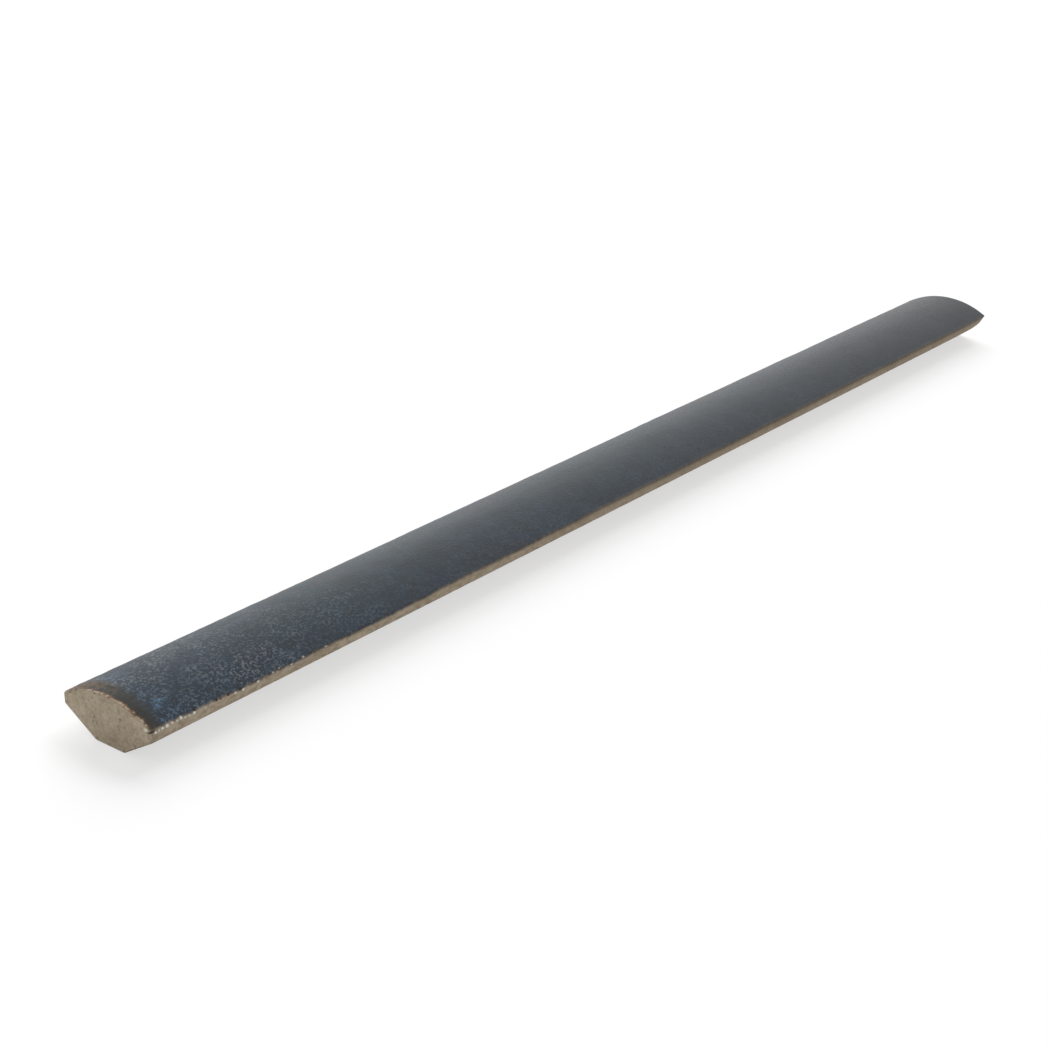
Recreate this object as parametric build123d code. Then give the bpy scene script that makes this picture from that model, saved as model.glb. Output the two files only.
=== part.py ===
from build123d import *

import os

# A glazed porcelain edge trim, pressed and fired as one piece.
# It lies on its narrow back along X, with the convex glazed crown upwards.
# The origin is the middle of the bedding face, under the middle of the length.

# Driving dimensions in millimetres
length = 200.0  # from end face to end face
width = 15.2  # over the two upright side edges
back_width = 4.9  # flat bedding face under the tile
flank_rise = 3.1  # height of each slanted flank, from the back to the side edge
side_height = 1.4  # upright side edge between flank and crown
crown_rise = 2.1  # height of the crown's arc above the side edges

back_radius = 0.6  # between the back and the flanks
arris_radius = 0.35  # between a flank and a side edge
shoulder_radius = 0.35  # where the crown turns down to a side edge
end_radius = 0.2  # around both end faces

# Places worked out from those
half_width = width / 2
half_back = back_width / 2
shoulder_height = flank_rise + side_height
crown_height = shoulder_height + crown_rise


def round_corners(section, height, radius):
    """Rounds the pair of section corners that lie at one height above the back."""
    pair = section.vertices().filter_by_position(Axis.Y, height, height)
    fillet(pair, radius)


def tile_section():
    """The cross-section, drawn with width across and height up, long edges rounded."""
    with BuildSketch(Plane.YZ) as section:
        with BuildLine():
            Polyline(
                (-half_width, shoulder_height),
                (-half_width, flank_rise),
                (-half_back, 0),
                (half_back, 0),
                (half_width, flank_rise),
                (half_width, shoulder_height),
            )
            ThreePointArc(
                (half_width, shoulder_height),
                (0, crown_height),
                (-half_width, shoulder_height),
            )
        make_face()
        round_corners(section, shoulder_height, shoulder_radius)
        round_corners(section, flank_rise, arris_radius)
        round_corners(section, 0, back_radius)
    return section.sketch


def trim_tile():
    """The section carried along the whole length, with both end faces' edges eased."""
    body = extrude(tile_section(), amount=length / 2, both=True)
    end_faces = body.faces().filter_by(Axis.X)
    return fillet(end_faces.edges(), end_radius)


os.makedirs("parts", exist_ok=True)
tile = trim_tile()
export_step(tile, "parts/trim_tile.step")
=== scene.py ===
import math

import bpy
import numpy as np
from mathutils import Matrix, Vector


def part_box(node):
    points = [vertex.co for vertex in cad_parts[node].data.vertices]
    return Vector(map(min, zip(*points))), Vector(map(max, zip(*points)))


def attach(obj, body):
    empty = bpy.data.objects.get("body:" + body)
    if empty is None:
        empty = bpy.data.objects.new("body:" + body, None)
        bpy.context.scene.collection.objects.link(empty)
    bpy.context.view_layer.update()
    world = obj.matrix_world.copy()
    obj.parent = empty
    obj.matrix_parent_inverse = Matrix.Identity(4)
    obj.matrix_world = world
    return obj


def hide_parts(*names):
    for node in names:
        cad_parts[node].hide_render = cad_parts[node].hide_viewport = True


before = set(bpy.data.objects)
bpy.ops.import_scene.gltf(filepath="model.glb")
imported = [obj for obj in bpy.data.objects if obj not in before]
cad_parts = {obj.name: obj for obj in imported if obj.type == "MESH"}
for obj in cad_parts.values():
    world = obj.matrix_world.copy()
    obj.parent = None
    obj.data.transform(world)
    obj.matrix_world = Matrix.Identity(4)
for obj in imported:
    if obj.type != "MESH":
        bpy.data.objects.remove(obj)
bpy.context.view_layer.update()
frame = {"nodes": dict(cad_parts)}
mm = 0.001  # one millimetre in scene metres
print("frame loaded:", ", ".join(frame["nodes"]))


# sRGB hex to the linear colour that a shader socket takes
def linear(hexColour):
    parts = np.array([int(hexColour[i:i + 2], 16) for i in (1, 3, 5)]) / 255
    curve = np.where(parts <= 0.04045, parts / 12.92, ((parts + 0.055) / 1.055) ** 2.4)
    return (*curve.tolist(), 1.0)


# texture scale that makes one step of a pattern this many millimetres
def pitch(stepMm):
    return 1 / (stepMm * mm)


# limits of a Map Range node for a stretch in mm, counted from a place on the same axis
def limits(stretch, start=0):
    return {"From Min": (start + stretch[0]) * mm, "From Max": (start + stretch[1]) * mm}


# Adds one node, sets its properties and sockets, then links other sockets into it.
# A Mix node goes by numbers: factor 0, floats 2 and 3 with result 0, colours 6 and 7 with result 2
def addNode(tree, kind, settings=None, links=None):
    node = tree.nodes.new("ShaderNode" + kind)
    for key, value in (settings or {}).items():
        if isinstance(key, str) and hasattr(node, key):
            setattr(node, key, value)
        else:
            node.inputs[key].default_value = value
    for key, socket in (links or {}).items():
        tree.links.new(socket, node.inputs[key])
    return node


# eases from 0 at start to 1 at end, flat beyond both
def ease(value, start, end):
    t = np.clip((value - start) / (end - start), 0, 1)
    return t * t * (3 - 2 * t)


# smooth noise from -1 to 1: seeded random numbers one unit apart on a lattice, eased between neighbours
def latticeNoise(a, b, seed):
    size = 512  # the lattice repeats after this many steps
    table = np.random.default_rng(seed).uniform(-1, 1, (size, size))
    i, j = np.floor(a).astype(int), np.floor(b).astype(int)
    u, v = ease(a - i, 0, 1), ease(b - j, 0, 1)
    i, j, iNext, jNext = i % size, j % size, (i + 1) % size, (j + 1) % size
    lowRow = table[i, j] * (1 - u) + table[iNext, j] * u
    highRow = table[i, jNext] * (1 - u) + table[iNext, jNext] * u
    return lowRow * (1 - v) + highRow * v


# sum of lattice noises along one direction, each given as (height, length, seed)
def ripple(ripples, distance, lane):
    return sum(tall * latticeNoise(distance / long, lane, seed) for tall, long, seed in ripples)


# sum of lattice noises over a surface, each given as (height, length along, length across, seed)
def waviness(waves, along, across, lane):
    return sum(tall * latticeNoise(along / long, across / wide + lane, seed)
               for tall, long, wide, seed in waves)


# Tile: one closed surface, the rounded section carried along the length, all sizes in mm
tileForm = {
    "node": "trim_tile",
    "slot": "glazed_porcelain",
    "backWidth": 4.9,
    "flankRise": 3.1,
    "sideHeight": 1.4,
    "backRadius": 0.6,
    "arrisRadius": 0.35,
    "shoulderRadius": 0.35,
    "endRadius": 0.2,
    # points on each run of the section, with as many above the middle of a side as below it
    "ring": {"side": 5, "shoulder": 6, "crown": 17, "arris": 4, "flank": 11, "foot": 4, "back": 4},
    "crownCrowding": 1.4,  # power that crowds the crown's points towards its edges
    "sectionSteps": 8000,  # short steps that the section is summed from
    "nearStep": 0.1,  # ring spacing by the near end, where the lip is most broken
    "farStep": 0.45,
    "stepStretch": (25, 75),  # the spacing widens between these distances from the near end
    "stationSteps": 20000,
    "arcRings": 5,  # rings round the edge of each end face
}
boxLow, boxHigh = (np.array(corner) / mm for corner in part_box(tileForm["node"]))
length, width, height = boxHigh - boxLow
nearEnd, farEnd = boxLow[0], boxHigh[0]
crownRise = height - tileForm["flankRise"] - tileForm["sideHeight"]
crownRadius = ((width / 2) ** 2 + crownRise ** 2) / (2 * crownRise)  # of the arc over the whole width


# Half section, from the middle of the back to the top of the crown.
# The heading is constant on straights and turns evenly round each edge and along the crown,
# so each point is the running sum of short steps along the heading.
def halfSection(form):
    halfWidth, halfBack = width / 2, form["backWidth"] / 2
    flankTurn = math.atan2(form["flankRise"], halfWidth - halfBack)
    arrisTurn = math.pi / 2 - flankTurn
    shoulderY = halfWidth - form["shoulderRadius"]
    innerRadius = crownRadius - form["shoulderRadius"]
    crownTurn = math.asin(shoulderY / innerRadius)
    shoulderZ = height - crownRadius + math.sqrt(innerRadius ** 2 - shoulderY ** 2)
    backCut = form["backRadius"] * math.tan(flankTurn / 2)
    arrisCut = form["arrisRadius"] * math.tan(arrisTurn / 2)
    runs = {
        "back": halfBack - backCut,
        "foot": form["backRadius"] * flankTurn,
        "flank": math.hypot(halfWidth - halfBack, form["flankRise"]) - backCut - arrisCut,
        "arris": form["arrisRadius"] * arrisTurn,
        "side": shoulderZ - form["flankRise"] - arrisCut,
        "shoulder": form["shoulderRadius"] * (math.pi / 2 - crownTurn),
        "crown": crownRadius * crownTurn,
    }
    upright, level = math.pi / 2, math.pi
    headings = [0, 0, flankTurn, flankTurn, upright, upright, level - crownTurn, level]
    knots = np.concatenate([[0], np.cumsum(list(runs.values()))])
    along = np.linspace(0, knots[-1], form["sectionSteps"] + 1)
    heading = np.interp(along, knots, headings)
    middle = (heading[1:] + heading[:-1]) / 2
    y = np.concatenate([[0], np.cumsum(np.cos(middle) * along[1])])
    z = np.concatenate([[0], np.cumsum(np.sin(middle) * along[1])])
    runEnds = dict(zip(runs, knots[1:]))
    return runEnds, along, y, z, heading


# Places round the section: up from the middle of the +Y side, over the crown, down and back underneath.
# The half above and the half below have as many places, so that an end face joins them in columns.
def ringPlaces(form, runEnds):
    counts = form["ring"]
    sideMiddle = (runEnds["arris"] + runEnds["side"]) / 2
    upwards = np.linspace(0, 1, counts["crown"], endpoint=False) ** form["crownCrowding"]
    above = np.concatenate([
        np.linspace(sideMiddle, runEnds["side"], counts["side"], endpoint=False),
        np.linspace(runEnds["side"], runEnds["shoulder"], counts["shoulder"], endpoint=False),
        runEnds["shoulder"] + (runEnds["crown"] - runEnds["shoulder"]) * upwards,
    ])
    below = np.concatenate([
        np.linspace(sideMiddle, runEnds["arris"], counts["side"], endpoint=False),
        np.linspace(runEnds["arris"], runEnds["flank"], counts["arris"], endpoint=False),
        np.linspace(runEnds["flank"], runEnds["foot"], counts["flank"], endpoint=False),
        np.linspace(runEnds["foot"], runEnds["back"], counts["foot"], endpoint=False),
        np.linspace(runEnds["back"], 0, counts["back"], endpoint=False),
    ])
    places = np.concatenate([above, [runEnds["crown"]], above[:0:-1], below, [0], below[:0:-1]])
    half = len(above)
    order = np.arange(4 * half)
    sides = np.where((order > half) & (order <= 3 * half), -1, 1)
    return places, sides


# Places along the length, spread evenly over the running sum of one over the spacing,
# with an arc of them round each end. inset is how far that arc draws the section in.
def stationPlaces(form):
    radius = form["endRadius"]
    dense = np.linspace(nearEnd + radius, farEnd - radius, form["stationSteps"] + 1)
    widening = ease(dense - nearEnd, *form["stepStretch"])
    spacing = form["nearStep"] + (form["farStep"] - form["nearStep"]) * widening
    count = np.concatenate([[0], np.cumsum(np.diff(dense) / spacing[1:])])
    main = np.interp(np.linspace(0, count[-1], int(count[-1]) + 1), count, dense)
    angle = np.radians(np.linspace(90, 0, form["arcRings"], endpoint=False))
    arc, draw = radius * (1 - np.sin(angle)), radius * (1 - np.cos(angle))
    stations = np.concatenate([nearEnd + arc, main, farEnd - arc[::-1]])
    inset = np.concatenate([draw, np.zeros(len(main)), draw[::-1]])
    return stations, inset


# The glaze's edge, what has broken away there and the fine relief, in mm.
# A stretch is two distances from the near end: a change starts at the first and is full at the second.
# A ripple is (height, length, seed), and a wave is (height, length along, length across, seed).
# A nick is (distance from the near end, height above the lip, half length, half height, depth).
lipForm = {
    "wander": [(0.07, 5.5, 1)],  # slow drift of the glaze's edge up and down
    "scallops": [(0.1, 0.6, 2), (0.05, 0.29, 3)],  # short ones along it
    "scallopStretch": (32, 8),
    "scallopRest": 0.4,  # share of them that is left further on
    "lap": 0.22,  # how far the glaze laps down over the lip past the near end
    "lapStretch": (7, 13),
    "lapLoss": 1 / 6,  # share of the lap that is lost further on
    "lapLossStretch": (30, 60),
    "coat": 0.03,  # thickness of the whole glaze over the body
    "bead": 0.05,  # height of the rounded lip
    "beadLift": 0.2,  # its middle lies this far above the glaze's edge
    "beadWidth": 0.17,
    "beadShare": 0.6,  # mean share of its height, which its roll changes along the lip
    "beadRoll": [(0.4, 1.1, 6)],
    "sideThin": 0.75,  # the glaze thins over this width along the sides
    "nearThin": 2.5,  # and over this at the near end
    "farThin": 1.2,
    "nearBare": 0.15,  # bare rim at the near end
    "farPast": 0.9,  # the glaze thins at the far end as if it ran on this far
    # of the glaze's edge at the ends, half as much at the near one
    "endWobble": [(0.22, 0.7, 4), (0.12, 0.25, 5)],
    "glazeWaves": [(0.018, 9, 4, 7), (0.006, 2.1, 1.5, 8)],
    "pressMarks": [(0.014, 14, 0.16, 9), (0.014, 0.7, 0.6, 10)],  # on the bare body
    "pressFade": (-6, -1),  # heights above the lip, so that the flat back stays plain
    "tornStretch": (48, 20),  # pale torn body shows along the lip by the near end
    "tornFoot": (-0.95, -0.5),  # it starts and ends at these heights above the glaze's edge
    "tornTop": (0.06, -0.12),
    "tornStreaks": [(1.0, 0.9, 0.13, 11), (0.6, 3.1, 0.2, 12)],
    "tornLoss": 0.35,  # share of it that is lost past the near end
    "tornLossStretch": (5, 9),
    "tornRise": 0.02,
    "tornPale": 0.12,
    "chips": [
        (0.72, -0.22, 0.20, 0.22, 0.10), (1.15, -0.18, 0.15, 0.18, 0.06), (1.70, -0.14, 0.18, 0.20, 0.09),
        (2.42, -0.14, 0.24, 0.24, 0.11), (3.15, -0.04, 0.17, 0.18, 0.06), (3.85, -0.10, 0.15, 0.17, 0.05),
        (4.50, 0.02, 0.20, 0.22, 0.09), (5.05, -0.20, 0.15, 0.20, 0.06), (5.70, -0.20, 0.15, 0.18, 0.05),
        (6.45, -0.20, 0.24, 0.22, 0.12), (8.20, -0.26, 0.16, 0.16, 0.05), (12.8, -0.30, 0.22, 0.20, 0.08),
        (14.05, -0.34, 0.20, 0.22, 0.09), (16.4, -0.26, 0.24, 0.17, 0.08),
    ],
    # pits are painted dark inside: painted shade in their hollows
    "pits": [
        (0.25, -0.06, 0.75, 0.17, 0.20), (6.52, 0.14, 0.22, 0.19, 0.16),
        (9.90, -0.02, 0.24, 0.22, 0.14), (10.5, -0.08, 0.20, 0.18, 0.12),
        (11.7, -0.06, 0.26, 0.20, 0.14), (13.6, -0.10, 0.22, 0.28, 0.18),
    ],
    "endChip": (-6.65, 4.58, 0.38, 0.33, 0.08),  # on the near end face, with y and z for its place
    "endPit": (-7.3, 4.3, 0.45, 0.17, 0.15),
    "chipRim": (0, 0.6),  # depths in a chip's bowl where it starts to be pale and is fully pale
    "pitRim": (0.1, 0.7),
    "fullChip": 0.1,  # a chip this deep is fully pale, and a shallower one is duller
    "fullPit": 0.15,  # a pit this deep is fully dark
    "placedReach": 17,  # the nicks above take the place of scattered ones up to here
    "scatterReach": 28,
    "scatterLift": (-0.28, 0.08),  # heights above the lip
    "scatterScale": (0.4, 1.0),
    "moreChips": 16,  # scattered on each side
    "chipSizes": (0.24, 0.17, 0.07),  # half length, half height and depth of the largest
    "morePits": 10,
    "pitSizes": (0.18, 0.16, 0.13),
    "seed": 21,
}


# A nick's bowl, 1 in its middle and 0 from its rim outwards:
# one minus the squared distance from its middle over its half sizes
def bowl(x, above, nick):
    return np.clip(1 - ((x - nick[0]) / nick[2]) ** 2 - ((above - nick[1]) / nick[3]) ** 2, 0, 1)


# random nicks along one side, each the largest size times one random scale
def scatterNicks(form, count, sizes, rng):
    x = form["scatterReach"] * rng.uniform(0, 1, count)
    lift = rng.uniform(*form["scatterLift"], count)
    scale = rng.uniform(*form["scatterScale"], (count, 1))
    return np.column_stack([x, lift, np.tile(sizes, (count, 1)) * scale])


# Relief along the section's normal: the coat, a bell curve along its lip and waves where it is glazed,
# press marks where it is bare, torn streaks under the lip, less the bowls of chips and pits.
# endCover and sideCover are the glaze's thickness: 0 at its edge, 1 where whole, below 0 on bare body.
def surfaceRelief(form, stations, places, sides, lip):
    rng = np.random.default_rng(form["seed"])
    shape = (len(stations), len(places))
    x = np.broadcast_to((stations - nearEnd)[:, None], shape)
    above = np.broadcast_to(places - lip, shape)
    lane = np.broadcast_to(sides * 40.0 + 60, shape)  # each side reads its own row of the noise
    lap = form["lap"] * ease(x, *form["lapStretch"])
    lap = lap * (1 - form["lapLoss"] * ease(x, *form["lapLossStretch"]))
    broken = form["scallopRest"] + (1 - form["scallopRest"]) * ease(x, *form["scallopStretch"])
    scallop = broken * ripple(form["scallops"], x, lane)
    fromSide = above - ripple(form["wander"], x, lane) + lap - scallop
    wobble = ripple(form["endWobble"], above, lane)
    fromNear = x - form["nearBare"] - wobble / 2
    fromFar = length - x + form["farPast"] + wobble
    endCover = np.clip(np.minimum(fromNear / form["nearThin"], fromFar / form["farThin"]), -1, 1.5)
    sideCover = np.clip(fromSide / form["sideThin"], -1.6, 1.5)

    glazed = ease(np.minimum(endCover, sideCover), -0.05, 0.2)
    bead = form["bead"] * (form["beadShare"] + ripple(form["beadRoll"], x, lane))
    bead = bead * np.exp(-((fromSide - form["beadLift"]) / form["beadWidth"]) ** 2)
    coat = form["coat"] * ease(endCover, 0, 0.8)
    relief = glazed * (coat + bead + waviness(form["glazeWaves"], x, above, lane))
    pressed = (1 - glazed) * ease(above, *form["pressFade"])
    relief += pressed * waviness(form["pressMarks"], x, above, lane)

    # paler torn body under the glaze's edge, in short streaks along it
    torn = ease(fromSide, *form["tornFoot"]) * ease(fromSide, *form["tornTop"])
    torn = torn * ease(waviness(form["tornStreaks"], x, above, lane), -0.7, 0.9)
    torn = torn * ease(x, *form["tornStretch"])
    torn = torn * (1 - form["tornLoss"] * ease(x, *form["tornLossStretch"]))
    relief += form["tornRise"] * torn

    paleAndGlint, pitShade = form["tornPale"] * torn, np.zeros(shape)
    for side in (-1, 1):
        chips = scatterNicks(form, form["moreChips"], form["chipSizes"], rng)
        pits = scatterNicks(form, form["morePits"], form["pitSizes"], rng)
        if side < 0:  # the side towards the camera has the ones that show in the photo
            chips = np.vstack([form["chips"], chips[chips[:, 0] > form["placedReach"]]])
            pits = np.vstack([form["pits"], pits[pits[:, 0] > form["placedReach"]]])
        onSide = sides == side
        for nick in chips:
            dip = bowl(x, above, nick) * onSide
            relief -= nick[4] * dip
            # a chip shows pale body, painted near white as a painted glint on its edges
            pale = ease(dip, *form["chipRim"]) * min(1, nick[4] / form["fullChip"])
            paleAndGlint = np.maximum(paleAndGlint, pale)
        for nick in pits:
            dip = bowl(x, above, nick) * onSide
            relief -= nick[4] * np.sqrt(dip)
            # the pit's inside is painted dark, as painted shade in the hollow
            dark = ease(dip, *form["pitRim"]) * min(1, nick[4] / form["fullPit"])
            pitShade = np.maximum(pitShade, dark)
    return relief, endCover, sideCover, paleAndGlint, pitShade


# Soft light-blue clouds in the glaze:
# (distance from the near end, height above the lip, half length, half height, strength)
bloomForm = [
    (4.0, 3.25, 0.7, 0.26, 0.8),
    (3.2, 2.75, 0.45, 0.3, 0.7),
    (3.1, 5.2, 0.5, 0.4, 0.3),
    (4.2, 11.6, 1.5, 1.5, 0.15),
]


# A cloud is a bell curve of the distance from its middle over its half sizes.
# Heights count from the lip of the side towards the camera, over the crown and down the other side
def bloomCover(clouds, stations, places, sides, lip, top):
    x = (stations - nearEnd)[:, None]
    above = np.where(sides < 0, places, 2 * top - places)[None, :] - lip
    bloom = np.zeros((len(stations), len(places)))
    for cloud in clouds:
        away = (x - cloud[0]) / cloud[2]
        up = (above - cloud[1]) / cloud[3]
        bloom = np.maximum(bloom, cloud[4] * np.exp(-away ** 2 - up ** 2))
    return bloom


# Worn far corner of the side towards the camera, in mm:
# the arris draws in by a quick and a slow decay from the end.
# The wear fades evenly from the arris up to the lip, and like a bell curve down the flank.
cornerForm = {
    "quickDepth": 0.75,
    "quickLength": 1.8,
    "slowDepth": 0.11,
    "slowLength": 8.0,
    "reach": 2.0,
}


def cornerWear(form, stations, places, sides, arris, lip):
    fromEnd = farEnd - stations
    lengthwise = form["quickDepth"] * np.exp(-fromEnd / form["quickLength"])
    lengthwise += form["slowDepth"] * np.exp(-fromEnd / form["slowLength"])
    upwards = np.clip((lip - places) / (lip - arris), 0, 1)
    downwards = np.exp(-((places - arris) / form["reach"]) ** 2)
    around = np.where(places > arris, upwards, downwards) * (sides < 0)
    return lengthwise[:, None] * around[None, :]


# Joins a rows by columns grid of vertex numbers into quads, wound so that the tile's faces point outwards
def gridQuads(numbers):
    a, b = numbers[:-1, :-1], numbers[:-1, 1:]
    c, d = numbers[1:, 1:], numbers[1:, :-1]
    return np.stack([a, b, c, d], -1).reshape(-1, 4)


# End faces, in mm: a wave is (height, length across, length up, seed)
endForm = {
    "rows": 14,
    "margin": 0.03,  # the outer rows lie this share of a column in from its ends
    "sunk": 0.02,
    "nearWaves": [(0.012, 0.55, 0.55, 31), (0.015, 2.3, 2.3, 32)],
    "farWaves": [(0.012, 0.55, 0.55, 41), (0.015, 2.3, 2.3, 42)],
    "lane": 30,  # row of the noise
}


# An end face: straight columns from the lower half of the ring to the upper half,
# sunk inwards with the waves. Returns the new points and the grid of vertex numbers.
def endFace(form, waves, ring, ringNumbers, firstNew, inward):
    count = len(ring)
    columns = np.arange(count // 2 + 1)
    upper, lower = ring[columns], ring[-columns % count]
    inside = np.linspace(form["margin"], 1 - form["margin"], form["rows"] - 1)
    up = np.concatenate([[0], inside, [1]])[:, None, None]
    face = lower + up * (upper - lower)
    face[..., 0] += inward * (form["sunk"] + waviness(waves, face[..., 1], face[..., 2], form["lane"]))
    numbers = np.empty((form["rows"] + 1, len(columns)), int)
    numbers[0], numbers[-1] = ringNumbers[-columns % count], ringNumbers[columns]
    numbers[:, 0], numbers[:, -1] = ringNumbers[0], ringNumbers[count // 2]
    inner = numbers[1:-1, 1:-1]
    inner[...] = firstNew + np.arange(inner.size).reshape(inner.shape)
    return face[1:-1, 1:-1].reshape(-1, 3), numbers


# Layout of the surface on a square, for the colours that are baked on export: the glazed half of the ring
# in three lengths and the half below in two, one above another, then the two end faces side by side
layoutForm = {
    "margin": 0.012,
    "upperParts": 3,
    "upperHigh": 0.235,
    "lowerParts": 2,
    "lowerHigh": 0.05,
    "endHigh": 0.095,
}


# the share of the length, cut into parts, runs across, and the walk round the section runs up
def tubeLayout(form, stations, places):
    count = len(places)
    walk = np.abs(np.diff(np.concatenate([places, places[:1]])))
    walk = np.concatenate([[0], np.cumsum(walk)])
    isUpper = np.arange(count) < count // 2
    start = np.where(isUpper, 0, walk[count // 2])
    span = np.where(isUpper, walk[count // 2], walk[-1] - walk[count // 2])
    parts = np.where(isUpper, form["upperParts"], form["lowerParts"])
    high = np.where(isUpper, form["upperHigh"], form["lowerHigh"])
    first = np.where(isUpper, 0, form["upperParts"] * (form["upperHigh"] + form["margin"]))
    along = (stations - nearEnd) / length
    middle = (along[:-1] + along[1:]) / 2
    part = np.floor(middle[:, None] * parts)
    corners = []
    for rowStep, columnStep in ((0, 0), (0, 1), (1, 1), (1, 0)):
        u = along[rowStep:len(along) - 1 + rowStep, None] * parts - part
        v = (walk[columnStep:count + columnStep] - start) / span * high
        v = v + first + part * (high + form["margin"])
        corners.append(np.stack([u * (1 - 2 * form["margin"]), v], -1) + form["margin"])
    return np.stack(corners, 2).reshape(-1, 4, 2)


# an end face keeps its shape, with y across and z up
def endLayout(form, points, place):
    lowest = form["upperParts"] * (form["upperHigh"] + form["margin"])
    lowest += form["lowerParts"] * (form["lowerHigh"] + form["margin"]) + form["margin"]
    scale = form["endHigh"] / height
    u = (points[..., 1] - boxLow[1]) * scale + form["margin"] + place * (width * scale + 2 * form["margin"])
    return np.stack([u, points[..., 2] * scale + lowest], -1)


# Puts points, quads, their layout and the values shown at each point into a mesh.
# The corner columns of an end face are triangles: their quads name one vertex twice
def writeMesh(name, points, quads, layout, shown):
    kept = quads != np.roll(quads, 1, 1)
    sizes = kept.sum(1)
    mesh = bpy.data.meshes.new(name)
    mesh.vertices.add(len(points))
    mesh.vertices.foreach_set("co", (points * mm).ravel())
    mesh.loops.add(int(sizes.sum()))
    mesh.loops.foreach_set("vertex_index", quads[kept].astype(np.int32))
    mesh.polygons.add(len(quads))
    mesh.polygons.foreach_set("loop_start", (np.cumsum(sizes) - sizes).astype(np.int32))
    mesh.update(calc_edges=True)
    mesh.uv_layers.new(name="OFBake").data.foreach_set("uv", layout[kept].ravel())
    for key, (onTube, onEnds) in shown.items():
        values = np.concatenate([onTube.ravel(), onEnds]).astype(np.float32)
        mesh.attributes.new(key, "FLOAT", "POINT").data.foreach_set("value", values)
    mesh.polygons.foreach_set("use_smooth", np.ones(len(mesh.polygons), bool))
    mesh.validate()
    return mesh


# The tile's surface: at each station, each point of the section moves along its normal by the relief,
# less the inset round the ends and the wear at the corner. A grid closes each end.
def buildTile():
    runEnds, along, pathY, pathZ, pathHeading = halfSection(tileForm)
    lip = (runEnds["side"] + runEnds["shoulder"]) / 2
    arris = (runEnds["flank"] + runEnds["arris"]) / 2
    places, sides = ringPlaces(tileForm, runEnds)
    stations, inset = stationPlaces(tileForm)
    heading = np.interp(places, along, pathHeading)
    normalY, normalZ = sides * np.sin(heading), -np.cos(heading)
    ringY, ringZ = sides * np.interp(places, along, pathY), np.interp(places, along, pathZ)

    relief, endCover, sideCover, paleAndGlint, pitShade = surfaceRelief(lipForm, stations, places, sides, lip)
    bloom = bloomCover(bloomForm, stations, places, sides, lip, runEnds["crown"])
    endFade = np.minimum(stations - nearEnd, farEnd - stations)[:, None] / tileForm["endRadius"]
    shift = relief * np.clip(0.3 + endFade, 0, 1) - inset[:, None]
    shift = shift - cornerWear(cornerForm, stations, places, sides, arris, lip)
    tube = np.stack([
        np.broadcast_to(stations[:, None], shift.shape),
        ringY + shift * normalY,
        np.maximum(ringZ + shift * normalZ, 0),
    ], -1)

    numbers = np.arange(shift.size).reshape(shift.shape)
    nearNew, nearNumbers = endFace(endForm, endForm["nearWaves"], tube[0], numbers[0], shift.size, 1)
    endChip, endPit = (bowl(nearNew[:, 1], nearNew[:, 2], lipForm[name]) for name in ("endChip", "endPit"))
    nearNew[:, 0] += lipForm["endChip"][4] * endChip + lipForm["endPit"][4] * endPit
    farFirst = shift.size + len(nearNew)
    farNew, farNumbers = endFace(endForm, endForm["farWaves"], tube[-1], numbers[-1], farFirst, -1)
    points = np.vstack([tube.reshape(-1, 3), nearNew, farNew])
    wrapped = np.column_stack([numbers, numbers[:, 0]])
    nearQuads, farQuads = gridQuads(nearNumbers), gridQuads(farNumbers)[:, ::-1]
    quads = np.vstack([gridQuads(wrapped), nearQuads, farQuads])
    layout = np.vstack([
        tubeLayout(layoutForm, stations, places),
        endLayout(layoutForm, points[nearQuads], 0),
        endLayout(layoutForm, points[farQuads], 1),
    ])

    # on an end face the cover falls below 0 with the distance under the crown's arc
    endPoints = np.vstack([nearNew, farNew])
    under = crownRadius - np.hypot(endPoints[:, 1], endPoints[:, 2] - height + crownRadius)
    endBare = np.clip(-under / lipForm["nearThin"], -1, 0)
    zeros, farZeros = np.zeros(len(endPoints)), np.zeros(len(farNew))
    shown = {
        "endCover": (endCover, endBare),
        "sideCover": (sideCover, zeros + 1),
        "paleChipAndGlint": (paleAndGlint, np.concatenate([ease(endChip, *lipForm["chipRim"]), farZeros])),
        "paintedPitShade": (pitShade, np.concatenate([ease(endPit, *lipForm["pitRim"]), farZeros])),
        "blueBloom": (bloom, zeros),
    }
    tile = bpy.data.objects.new("trimTile", writeMesh("trimTile", points, quads, layout, shown))
    bpy.context.scene.collection.objects.link(tile)
    a, b, c, d = (points[quads[:, i]] for i in range(4))
    volume = np.einsum("ij,ij->", a, np.cross(b, c) + np.cross(c, d)) / 6
    print("tile built:", len(quads), "faces,", round(float(volume)), "cubic mm")
    return tile


# Noise patterns of the finish: size of one step in mm, and the texture's other settings
patterns = {
    "grain": (0.6, {"Detail": 3, "Roughness": 0.65}),  # these two are in the body
    "cloud": (3.0, {"Detail": 2}),
    "pool": (14.0, {"Detail": 3}),  # and these in the glaze
    "tint": (8.0, {"Detail": 2}),
    "patch": (4.0, {"Detail": 3}),
    "mottle": (1.5, {"Detail": 2}),
    "swirl": (0.35, {"Detail": 0.4, "Roughness": 0.5, "Distortion": 0.8}),
    "blot": (0.9, {"Detail": 3, "Roughness": 0.7}),
}
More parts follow.
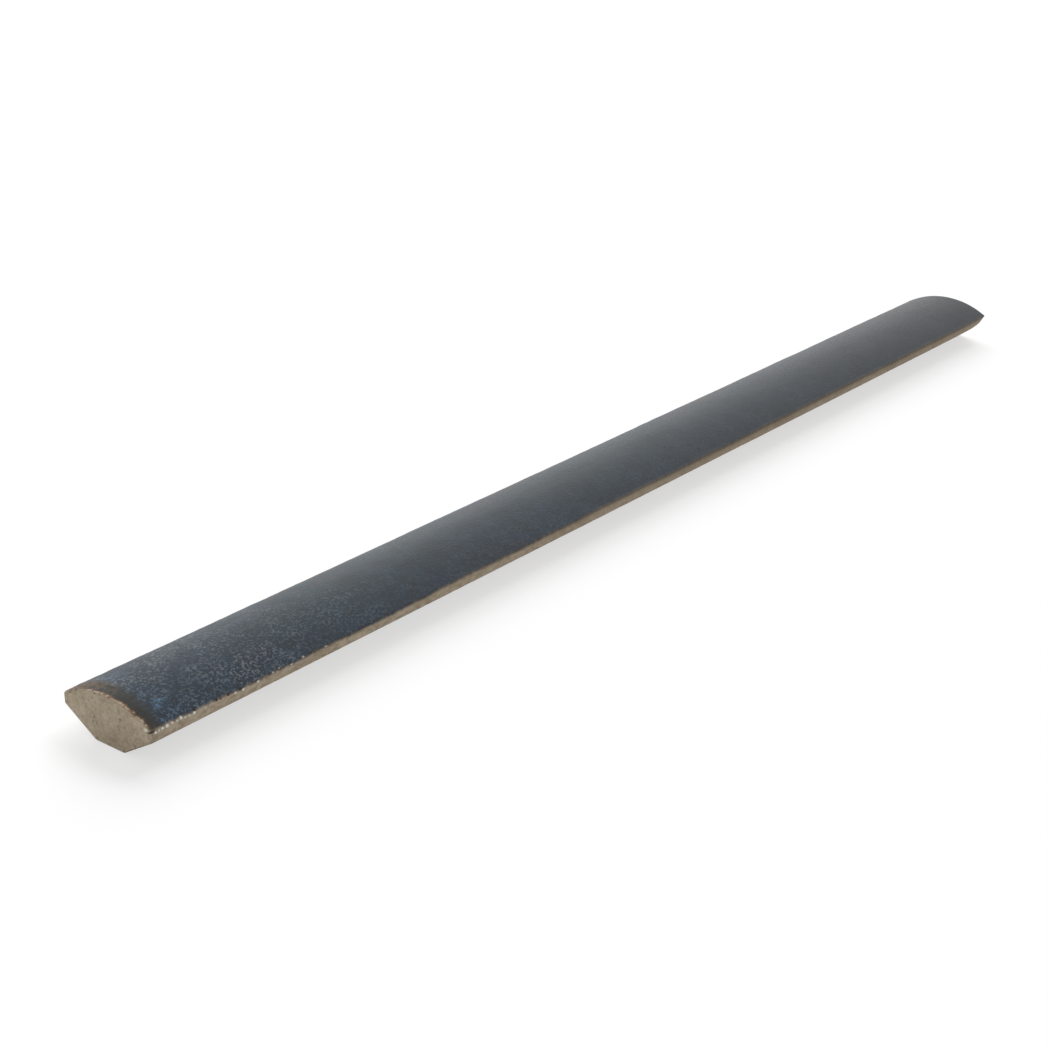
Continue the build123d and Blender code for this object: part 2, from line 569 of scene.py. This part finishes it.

# Dry-pressed porcelain body, fired bare: matt, tan, with a soft grain, faint lengthwise drag marks,
# small dark pores and a few darker spots. The sides are soiled, and the near end's rim is darkened with
# painted shade.
# A stretch is in mm from the near end
bodyLook = {
    "light": "#d8c9b1",
    "dark": "#a8977f",
    "pore": "#6d604c",
    # soil on the sides; over the near end's rim the same colour is painted shade
    "soilAndShade": "#85735d",
    "stain": "#6a5f52",
    # near white: pale broken body, whitened further as a painted glint on the chips' edges
    "paleAndGlint": "#fdf8ee",
    "dragMm": 0.35,
    "dragDraw": (0.4, 1, 1),  # draws the drag marks out along the length
    # pores and larger spots: cell in mm, share of cells left plain, largest radius in cells, strength
    "pores": [(0.9, 0.5, 0.3, 0.4), (1.7, 0.45, 0.3, 0.45)],
    "roughness": 0.85,
    "sideStretch": (0.1, 0.6),  # from the near end face to the sides
    # painted shade over the near end's rounded rim starts at the first distance and is full at the second
    "rimStretch": (0.02, 0.12),  # from the near end face to its rim
    "settledStretch": (22, 120),  # the lip goes from torn and crisp to whole and soft
}

# Satin reactive glaze, sprayed and fired: near black slate that turns blue where it pools, so that most of
# what the eye sees is the soft sheen at low angles. Light worm-like crystals by the near end, bluer where
# it pools, soft blotches further on, and a mottled brown and olive edge where it runs thin.
# A stretch is in mm from the near end, and a side in mm from the middle, across the tile
glazeLook = {
    "slate": "#0f252d",
    "blue": "#102436",
    "far": "#10161b",
    "plum": "#1f1a20",
    "crystal": "#687075",
    "blueCrystal": "#5d7184",
    "shade": "#0b131a",
    "navy": "#0b1b28",
    "bloom": "#557c98",
    "olive": "#1d1f1b",
    "brown": "#5a4229",
    "ember": "#181310",
    "edge": "#664529",
    "fringe": "#262524",
    # painted shade inside pits
    "pit": "#17120e",
    "poolStretch": (30, 3),
    "poolSide": (1, -7),
    "farStretch": (80, length),
    "crystalStretch": (48, 12),
    "crystalSide": (0, 5),
    # browner and lighter towards +Y: partly thinner glaze, partly painted sheen
    "brownSheenSide": (-2, 7),
    "rustSide": (4, 0),
    "sheenStretch": (14, 50),
    "nearRoughness": 0.35,
    "roughness": 0.22,
    "bumpMm": 0.04,
    "ior": 1.5,
    "specularLevel": 0.415,  # a little under plain glass, dulled by fine crystals at the surface
}


# What the material reads at each point: its place, the mesh's own values, the noise patterns,
# and what several layers share
def readSurface(tree):
    place = addNode(tree, "TexCoord").outputs["Object"]
    lengthwise, across, _ = addNode(tree, "SeparateXYZ", links={0: place}).outputs
    read = {"place": place, "lengthwise": lengthwise, "across": across}
    for name in ("endCover", "sideCover", "paleChipAndGlint", "paintedPitShade", "blueBloom"):
        read[name] = addNode(tree, "Attribute", {"attribute_name": name}).outputs["Fac"]
    for name, (stepMm, settings) in patterns.items():
        read[name] = addNode(tree, "TexNoise", {"Scale": pitch(stepMm), **settings},
                             {"Vector": place}).outputs["Fac"]
    # 0 by the near end, where the lip is torn and crisp, to 1 where it is whole and soft
    read["settled"] = addNode(tree, "MapRange", {"interpolation_type": "SMOOTHSTEP",
                                                 **limits(bodyLook["settledStretch"], nearEnd)},
                              {"Value": lengthwise}).outputs[0]
    # more towards -Y, where the glaze pools
    read["lower"] = addNode(tree, "MapRange", {**limits(glazeLook["poolSide"]), "To Max": 0.45},
                            {"Value": across}).outputs[0]
    return read


# Bare body: grain, clouds and drag marks between two tans, then pores, soil with painted shade on the near
# rim, stain, and pale chips with painted glints
def bareBody(tree, read):
    drawn = addNode(tree, "VectorMath", {"operation": "MULTIPLY", 1: bodyLook["dragDraw"]},
                    {0: read["place"]}).outputs[0]
    drag = addNode(tree, "TexNoise", {"Scale": pitch(bodyLook["dragMm"]), "Detail": 2},
                   {"Vector": drawn}).outputs["Fac"]
    tone = addNode(tree, "Math", {"operation": "MULTIPLY_ADD", 1: 0.8},
                   {0: read["cloud"], 2: read["grain"]}).outputs[0]
    tone = addNode(tree, "Math", {"operation": "MULTIPLY_ADD", 1: 0.6}, {0: drag, 2: tone}).outputs[0]
    tone = addNode(tree, "MapRange", {"From Min": 0.85, "From Max": 1.55}, {"Value": tone}).outputs[0]
    body = addNode(tree, "Mix", {"data_type": "RGBA", 6: linear(bodyLook["dark"]),
                                 7: linear(bodyLook["light"])}, {0: tone}).outputs[2]
    # 0 on the near end face, 1 along the rest
    along = addNode(tree, "MapRange", limits(bodyLook["sideStretch"], nearEnd),
                    {"Value": read["lengthwise"]}).outputs[0]
    # pores, and larger faint spots, where a random cell is chosen, on the near end face only
    layers = []
    for stepMm, plain, radius, strength in bodyLook["pores"]:
        cell = addNode(tree, "TexVoronoi", {"Scale": pitch(stepMm)}, {"Vector": read["place"]})
        chosen = addNode(tree, "SeparateColor", links={0: cell.outputs["Color"]}).outputs[0]
        reach = addNode(tree, "MapRange", {"From Min": plain, "To Max": radius},
                        {"Value": chosen}).outputs[0]
        spot = addNode(tree, "Math", {"operation": "SUBTRACT"},
                       {0: reach, 1: cell.outputs["Distance"]}).outputs[0]
        spot = addNode(tree, "MapRange", {"From Max": 0.12, "To Max": strength}, {"Value": spot}).outputs[0]
        spot = addNode(tree, "Math", {"operation": "MULTIPLY_ADD", "use_clamp": True, 1: -0.5},
                       {0: along, 2: spot}).outputs[0]
        layers.append((spot, "pore"))
    # soil on the sides, in streaks along the drag marks, more even away from the near end; on the near rim
    # it is painted shade
    soilAndRimShade = addNode(tree, "MapRange", {"From Min": 0.38, "From Max": 0.66, "To Max": 0.65},
                     {"Value": drag}).outputs[0]
    even = addNode(tree, "MapRange", {"To Max": 0.7}, {"Value": read["settled"]}).outputs[0]
    soilAndRimShade = addNode(tree, "Mix", {"data_type": "FLOAT", 3: 0.55}, {0: even, 2: soilAndRimShade}).outputs[0]
    # from the end face onto its rounded rim, where the darkening is painted shade that dulls the lit edge
    rim = addNode(tree, "MapRange", limits(bodyLook["rimStretch"], nearEnd),
                  {"Value": read["lengthwise"]}).outputs[0]
    soilAndRimShade = addNode(tree, "Math", {"operation": "MULTIPLY"}, {0: soilAndRimShade, 1: rim}).outputs[0]
    # darker brown just under the glaze's edge, speckled by the near end and whole further on
    grit = addNode(tree, "MapRange", {"From Min": 0.52, "From Max": 0.62, "To Max": 0.75},
                   {"Value": read["grain"]}).outputs[0]
    underLip = addNode(tree, "MapRange", {"interpolation_type": "SMOOTHSTEP", "From Min": -1.3,
                                        "From Max": 0.0, "To Max": 0.35},
                     {"Value": read["sideCover"]}).outputs[0]
    onSide = addNode(tree, "MapRange", {"From Min": 0.5, "From Max": 0.2},
                     {"Value": read["sideCover"]}).outputs[0]
    patchy = addNode(tree, "Math", {"operation": "MAXIMUM"}, {0: read["settled"], 1: grit}).outputs[0]
    for share in (onSide, patchy):
        underLip = addNode(tree, "Math", {"operation": "MULTIPLY"}, {0: underLip, 1: share}).outputs[0]
    # and brown specks by the near end's arris
    speck = addNode(tree, "MapRange", {"From Min": -0.2, "From Max": 0.0},
                    {"Value": read["endCover"]}).outputs[0]
    speck = addNode(tree, "Math", {"operation": "MULTIPLY"}, {0: speck, 1: grit}).outputs[0]
    speck = addNode(tree, "Math", {"operation": "SUBTRACT", "use_clamp": True},
                    {0: speck, 1: along}).outputs[0]
    stained = addNode(tree, "Math", {"operation": "MAXIMUM"}, {0: underLip, 1: speck}).outputs[0]
    layers += [(soilAndRimShade, "soilAndShade"), (stained, "stain"), (read["paleChipAndGlint"], "paleAndGlint")]
    for share, name in layers:
        body = addNode(tree, "Mix", {"data_type": "RGBA", 7: linear(bodyLook[name])},
                       {0: share, 6: body}).outputs[2]
    return body


# Whole glaze: slate, bluer by the near end and towards -Y, neutral by the far end, plum in places,
# with darker blotches all along, blue clouds and crystals
def wholeGlaze(tree, read):
    pooled = addNode(tree, "MapRange", {**limits(glazeLook["poolStretch"], nearEnd), "To Min": -0.4,
                                        "To Max": 0.4}, {"Value": read["lengthwise"]}).outputs[0]
    pooled = addNode(tree, "Math", {"operation": "ADD"}, {0: pooled, 1: read["lower"]}).outputs[0]
    blueness = addNode(tree, "Math", {"operation": "MULTIPLY_ADD", "use_clamp": True, 1: 1.2},
                       {0: read["pool"], 2: pooled}).outputs[0]
    glaze = addNode(tree, "Mix", {"data_type": "RGBA", 6: linear(glazeLook["slate"]),
                                  7: linear(glazeLook["blue"])}, {0: blueness}).outputs[2]
    further = addNode(tree, "MapRange", {**limits(glazeLook["farStretch"], nearEnd), "To Max": 0.9},
                      {"Value": read["lengthwise"]}).outputs[0]
    tinted = addNode(tree, "MapRange", {"From Min": 0.55, "From Max": 0.75, "To Max": 0.6},
                     {"Value": read["tint"]}).outputs[0]
    broad = addNode(tree, "MapRange", {"From Min": 0.6, "From Max": 0.38, "To Max": 0.3},
                    {"Value": read["patch"]}).outputs[0]
    small = addNode(tree, "MapRange", {"From Min": 0.6, "From Max": 0.38, "To Max": 0.55},
                    {"Value": read["mottle"]}).outputs[0]

    # Crystals, in patches: short worm-like specks where a swirled noise is high, dark gaps where it is low.
    # They are strongest by the near end and towards +Y
    strength = addNode(tree, "MapRange", {"interpolation_type": "SMOOTHSTEP", "To Min": 0.24,
                                          **limits(glazeLook["crystalStretch"], nearEnd)},
                       {"Value": read["lengthwise"]}).outputs[0]
    dense = addNode(tree, "MapRange", {"From Min": 0.35, "From Max": 0.65, "To Min": 0.4},
                    {"Value": read["patch"]}).outputs[0]
    upper = addNode(tree, "MapRange", {**limits(glazeLook["crystalSide"]), "To Min": 1.0, "To Max": 1.45},
                    {"Value": read["across"]}).outputs[0]
    for share in (dense, upper):
        strength = addNode(tree, "Math", {"operation": "MULTIPLY"}, {0: strength, 1: share}).outputs[0]
    gap = addNode(tree, "MapRange", {"From Min": 0.51, "From Max": 0.37, "To Max": 0.8},
                  {"Value": read["swirl"]}).outputs[0]
    gap = addNode(tree, "Math", {"operation": "MULTIPLY"}, {0: gap, 1: strength}).outputs[0]
    worm = addNode(tree, "MapRange", {"interpolation_type": "SMOOTHSTEP", "From Min": 0.46,
                                      "From Max": 0.68, "To Max": 0.62},
                   {"Value": read["swirl"]}).outputs[0]
    worm = addNode(tree, "Math", {"operation": "MULTIPLY"}, {0: worm, 1: strength}).outputs[0]
    haze = addNode(tree, "MapRange", {"From Min": 0.35, "From Max": 0.65, "To Min": 0.3, "To Max": 0.9},
                   {"Value": read["swirl"]}).outputs[0]
    haze = addNode(tree, "Math", {"operation": "MULTIPLY"}, {0: read["blueBloom"], 1: haze}).outputs[0]
    layers = [(further, "far"), (tinted, "plum"), (broad, "shade"), (small, "shade"), (gap, "navy"),
              (haze, "bloom")]
    for share, name in layers:
        glaze = addNode(tree, "Mix", {"data_type": "RGBA", 7: linear(glazeLook[name])},
                        {0: share, 6: glaze}).outputs[2]
    bluer = addNode(tree, "MapRange", {"From Min": 0.45, "From Max": 0.75}, {"Value": pooled}).outputs[0]
    crystal = addNode(tree, "Mix", {"data_type": "RGBA", 6: linear(glazeLook["crystal"]),
                                    7: linear(glazeLook["blueCrystal"])}, {0: bluer}).outputs[2]
    return addNode(tree, "Mix", {"data_type": "RGBA"}, {0: worm, 6: glaze, 7: crystal}).outputs[2]


# Thin glaze by the near end: a mottled band of olive and brown under the whole glaze, browner and lighter
# towards +Y, partly thinner glaze and partly painted sheen
def thinBand(tree, read, glaze):
    brownerAndSheen = addNode(tree, "MapRange", {**limits(glazeLook["brownSheenSide"]), "To Min": -1.5, "To Max": -0.5},
                      {"Value": read["across"]}).outputs[0]
    brownerAndSheen = addNode(tree, "Math", {"operation": "MULTIPLY_ADD", "use_clamp": True, 1: 2.6},
                      {0: read["blot"], 2: brownerAndSheen}).outputs[0]
    thin = addNode(tree, "Mix", {"data_type": "RGBA", 6: linear(glazeLook["olive"]),
                                 7: linear(glazeLook["brown"])}, {0: brownerAndSheen}).outputs[2]
    ember = addNode(tree, "MapRange", {"From Min": 0.48, "From Max": 0.36, "To Max": 0.8},
                    {"Value": read["blot"]}).outputs[0]
    thin = addNode(tree, "Mix", {"data_type": "RGBA", 7: linear(glazeLook["ember"])},
                   {0: ember, 6: thin}).outputs[2]
    depth = addNode(tree, "Math", {"operation": "MULTIPLY_ADD", 1: 1.1},
                    {0: read["blot"], 2: read["endCover"]}).outputs[0]
    depth = addNode(tree, "Math", {"operation": "MULTIPLY_ADD", 1: 0.7},
                    {0: read["lower"], 2: depth}).outputs[0]
    whole = addNode(tree, "MapRange", {"interpolation_type": "SMOOTHSTEP", "From Min": 1.25,
                                       "From Max": 1.8}, {"Value": depth}).outputs[0]
    return addNode(tree, "Mix", {"data_type": "RGBA"}, {0: whole, 6: thin, 7: glaze}).outputs[2]


# Edges of the glaze: rusty where it starts at the near end's arris, a dull fringe along the settled lip.
# Returns its colour, and its cover with a soft fade: 0 on bare body, 1 on glaze
def glazeEdges(tree, read, glaze):
    ragged = addNode(tree, "Math", {"operation": "MULTIPLY_ADD", 1: 0.4, 2: -0.2},
                     {0: read["grain"]}).outputs[0]
    endDepth = addNode(tree, "Math", {"operation": "ADD"}, {0: read["endCover"], 1: ragged}).outputs[0]
    sideDepth = addNode(tree, "Math", {"operation": "ADD"}, {0: read["sideCover"], 1: ragged}).outputs[0]
    fringe = addNode(tree, "MapRange", {"interpolation_type": "SMOOTHSTEP", "From Min": 1.0,
                                        "From Max": 0.2, "To Max": 0.7}, {"Value": sideDepth}).outputs[0]
    fringe = addNode(tree, "Math", {"operation": "MULTIPLY"}, {0: fringe, 1: read["settled"]}).outputs[0]
    rust = addNode(tree, "MapRange", {"interpolation_type": "SMOOTHSTEP", "From Min": 0.16,
                                      "From Max": 0.0}, {"Value": endDepth}).outputs[0]
    rusty = addNode(tree, "MapRange", {**limits(glazeLook["rustSide"]), "To Min": 0.1},
                    {"Value": read["across"]}).outputs[0]
    rust = addNode(tree, "Math", {"operation": "MULTIPLY"}, {0: rust, 1: rusty}).outputs[0]
    for share, name in ((fringe, "fringe"), (rust, "edge")):
        glaze = addNode(tree, "Mix", {"data_type": "RGBA", 7: linear(glazeLook[name])},
                        {0: share, 6: glaze}).outputs[2]
    fade = addNode(tree, "MapRange", {"To Min": 0.4, "To Max": 0.62}, {"Value": read["settled"]}).outputs[0]
    below = addNode(tree, "Math", {"operation": "MULTIPLY", 1: -1}, {0: fade}).outputs[0]
    glazed = addNode(tree, "MapRange", {"interpolation_type": "SMOOTHSTEP"},
                     {"Value": sideDepth, "From Min": below, "From Max": fade}).outputs[0]
    started = addNode(tree, "MapRange", {"interpolation_type": "SMOOTHSTEP", "From Min": -0.07,
                                         "From Max": 0.07}, {"Value": endDepth}).outputs[0]
    glazed = addNode(tree, "Math", {"operation": "MINIMUM"}, {0: glazed, 1: started}).outputs[0]
    return glaze, glazed


def glazedPorcelain():
    material = bpy.data.materials.new("satinGlazedPorcelain")
    material.use_nodes = True
    tree = material.node_tree
    tree.nodes.clear()
    read = readSurface(tree)
    body = bareBody(tree, read)
    glaze = thinBand(tree, read, wholeGlaze(tree, read))
    glaze, glazed = glazeEdges(tree, read, glaze)
    # chips show pale body with painted glints instead of glaze
    unbroken = addNode(tree, "Math", {"operation": "SUBTRACT", "use_clamp": True},
                       {0: glazed, 1: read["paleChipAndGlint"]}).outputs[0]
    colour = addNode(tree, "Mix", {"data_type": "RGBA"}, {0: unbroken, 6: body, 7: glaze}).outputs[2]
    # painted shade inside the pits
    colour = addNode(tree, "Mix", {"data_type": "RGBA", 7: linear(glazeLook["pit"])},
                     {0: read["paintedPitShade"], 6: colour}).outputs[2]
    # the sheen is softest by the near end, and a little uneven over the crystals
    satin = addNode(tree, "MapRange", {**limits(glazeLook["sheenStretch"], nearEnd),
                                       "To Min": glazeLook["nearRoughness"],
                                       "To Max": glazeLook["roughness"]},
                    {"Value": read["lengthwise"]}).outputs[0]
    satin = addNode(tree, "Math", {"operation": "MULTIPLY_ADD", 1: 0.3},
                    {0: read["swirl"], 2: satin}).outputs[0]
    rough = addNode(tree, "Mix", {"data_type": "FLOAT", 2: bodyLook["roughness"]},
                    {0: unbroken, 3: satin}).outputs[0]
    peel = addNode(tree, "Mix", {"data_type": "FLOAT"},
                   {0: unbroken, 2: read["grain"], 3: read["swirl"]}).outputs[0]
    bump = addNode(tree, "Bump", {"Strength": 0.8, "Distance": glazeLook["bumpMm"] * mm},
                   {"Height": peel}).outputs["Normal"]
    shader = addNode(tree, "BsdfPrincipled", {"IOR": glazeLook["ior"],
                                              "Specular IOR Level": glazeLook["specularLevel"]},
                     {"Base Color": colour, "Roughness": rough, "Normal": bump})
    addNode(tree, "OutputMaterial", links={"Surface": shader.outputs[0]})
    return material


tile = buildTile()
tile.data.materials.append(glazedPorcelain())
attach(tile, "root")
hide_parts(tileForm["node"])
print("tile finished and placed")


# Plain pale table top, just under the tile: the camera sees a duller paint and a glow that lifts it
# to white, so the shadow stays pale
floorLook = {"sizeM": 6.0, "dropM": 0.00002, "albedo": 0.53, "seenAlbedo": 0.32, "glow": 0.628}


def plainFloor(look):
    half = look["sizeM"] / 2
    corners = [(x * half, y * half, -look["dropM"]) for x, y in ((-1, -1), (1, -1), (1, 1), (-1, 1))]
    mesh = bpy.data.meshes.new("floor")
    mesh.from_pydata(corners, [], [(0, 1, 2, 3)])
    floor = bpy.data.objects.new("floor", mesh)
    bpy.context.scene.collection.objects.link(floor)
    material = bpy.data.materials.new("paintedTableTop")
    material.use_nodes = True
    tree = material.node_tree
    tree.nodes.clear()
    seen = addNode(tree, "LightPath").outputs["Is Camera Ray"]
    glow = addNode(tree, "Math", {"operation": "MULTIPLY", 1: look["glow"]}, {0: seen}).outputs[0]
    light = addNode(tree, "Emission", links={"Strength": glow})
    shade = addNode(tree, "MapRange", {"To Min": look["albedo"], "To Max": look["seenAlbedo"]},
                    {"Value": seen}).outputs[0]
    paint = addNode(tree, "BsdfDiffuse", links={"Color": shade})
    both = addNode(tree, "AddShader", links={0: light.outputs[0], 1: paint.outputs[0]})
    addNode(tree, "OutputMaterial", links={"Surface": both.outputs[0]})
    mesh.materials.append(material)


# Soft studio light: an even white surround, a broad low lamp behind and a smaller one above the far end.
# Their shadows fall in front of the long side and of the near end. Sizes and reach are in metres
lampRig = {
    "surround": 0.52,
    "reach": 5.0,
    "lamps": {
        "backLamp": {"size": 4.3, "level": 1.2, "from": (0.6, 0.57, 0.42)},
        "endLamp": {"size": 2.4, "level": 0.38, "from": (0.7, 0.1, 0.8)},
    },
}


def studioLight(rig):
    world = bpy.data.worlds.new("surround")
    bpy.context.scene.world = world
    world.use_nodes = True
    tree = world.node_tree
    tree.nodes.clear()
    # full white where it is seen directly, mirrored or through glass, and dimmer as light on the scene
    path = addNode(tree, "LightPath").outputs
    seen = addNode(tree, "Math", {"operation": "MAXIMUM"},
                   {0: path["Is Camera Ray"], 1: path["Is Glossy Ray"]}).outputs[0]
    seen = addNode(tree, "Math", {"operation": "MAXIMUM"},
                   {0: seen, 1: path["Is Transmission Ray"]}).outputs[0]
    level = addNode(tree, "MapRange", {"To Min": rig["surround"], "To Max": 1.0},
                    {"Value": seen}).outputs[0]
    sky = addNode(tree, "Background", {"Color": (1, 1, 1, 1)}, {"Strength": level})
    addNode(tree, "OutputWorld", links={"Surface": sky.outputs[0]})
    for name, lamp in rig["lamps"].items():
        data = bpy.data.lights.new(name, "AREA")
        data.shape = "DISK"
        data.size = lamp["size"]
        # a lamp of this power at this distance lights a white surface that faces it to its level
        data.energy = lamp["level"] * math.pi ** 2 * rig["reach"] ** 2
        holder = bpy.data.objects.new(name, data)
        bpy.context.scene.collection.objects.link(holder)
        towards = Vector(lamp["from"]).normalized()
        holder.location = towards * rig["reach"]
        holder.rotation_euler = towards.to_track_quat("Z", "Y").to_euler()
        holder.visible_glossy = False  # the glaze mirrors the even surround, with no hot spot


# The photo's camera, solved from the tile's own edges: metres and degrees in the tile's frame,
# with lens and sensor in mm
photoCamera = {
    "place": (-0.22382, -0.16135, 0.11283),
    "yaw": 39.029,
    "down": 23.281,
    "lens": 67.99,
    "sensor": 36.0,
    "nearest": 0.01,
}


def setCamera(view):
    data = bpy.data.cameras.new("photoCamera")
    data.lens = view["lens"]
    data.sensor_width = view["sensor"]
    data.clip_start = view["nearest"]
    camera = bpy.data.objects.new("photoCamera", data)
    bpy.context.scene.collection.objects.link(camera)
    camera.location = view["place"]
    camera.rotation_euler = (math.radians(90 - view["down"]), 0, math.radians(view["yaw"] - 90))
    bpy.context.scene.camera = camera


plainFloor(floorLook)
studioLight(lampRig)
setCamera(photoCamera)
bpy.context.scene.view_settings.view_transform = "Standard"
print("floor, light and camera set")
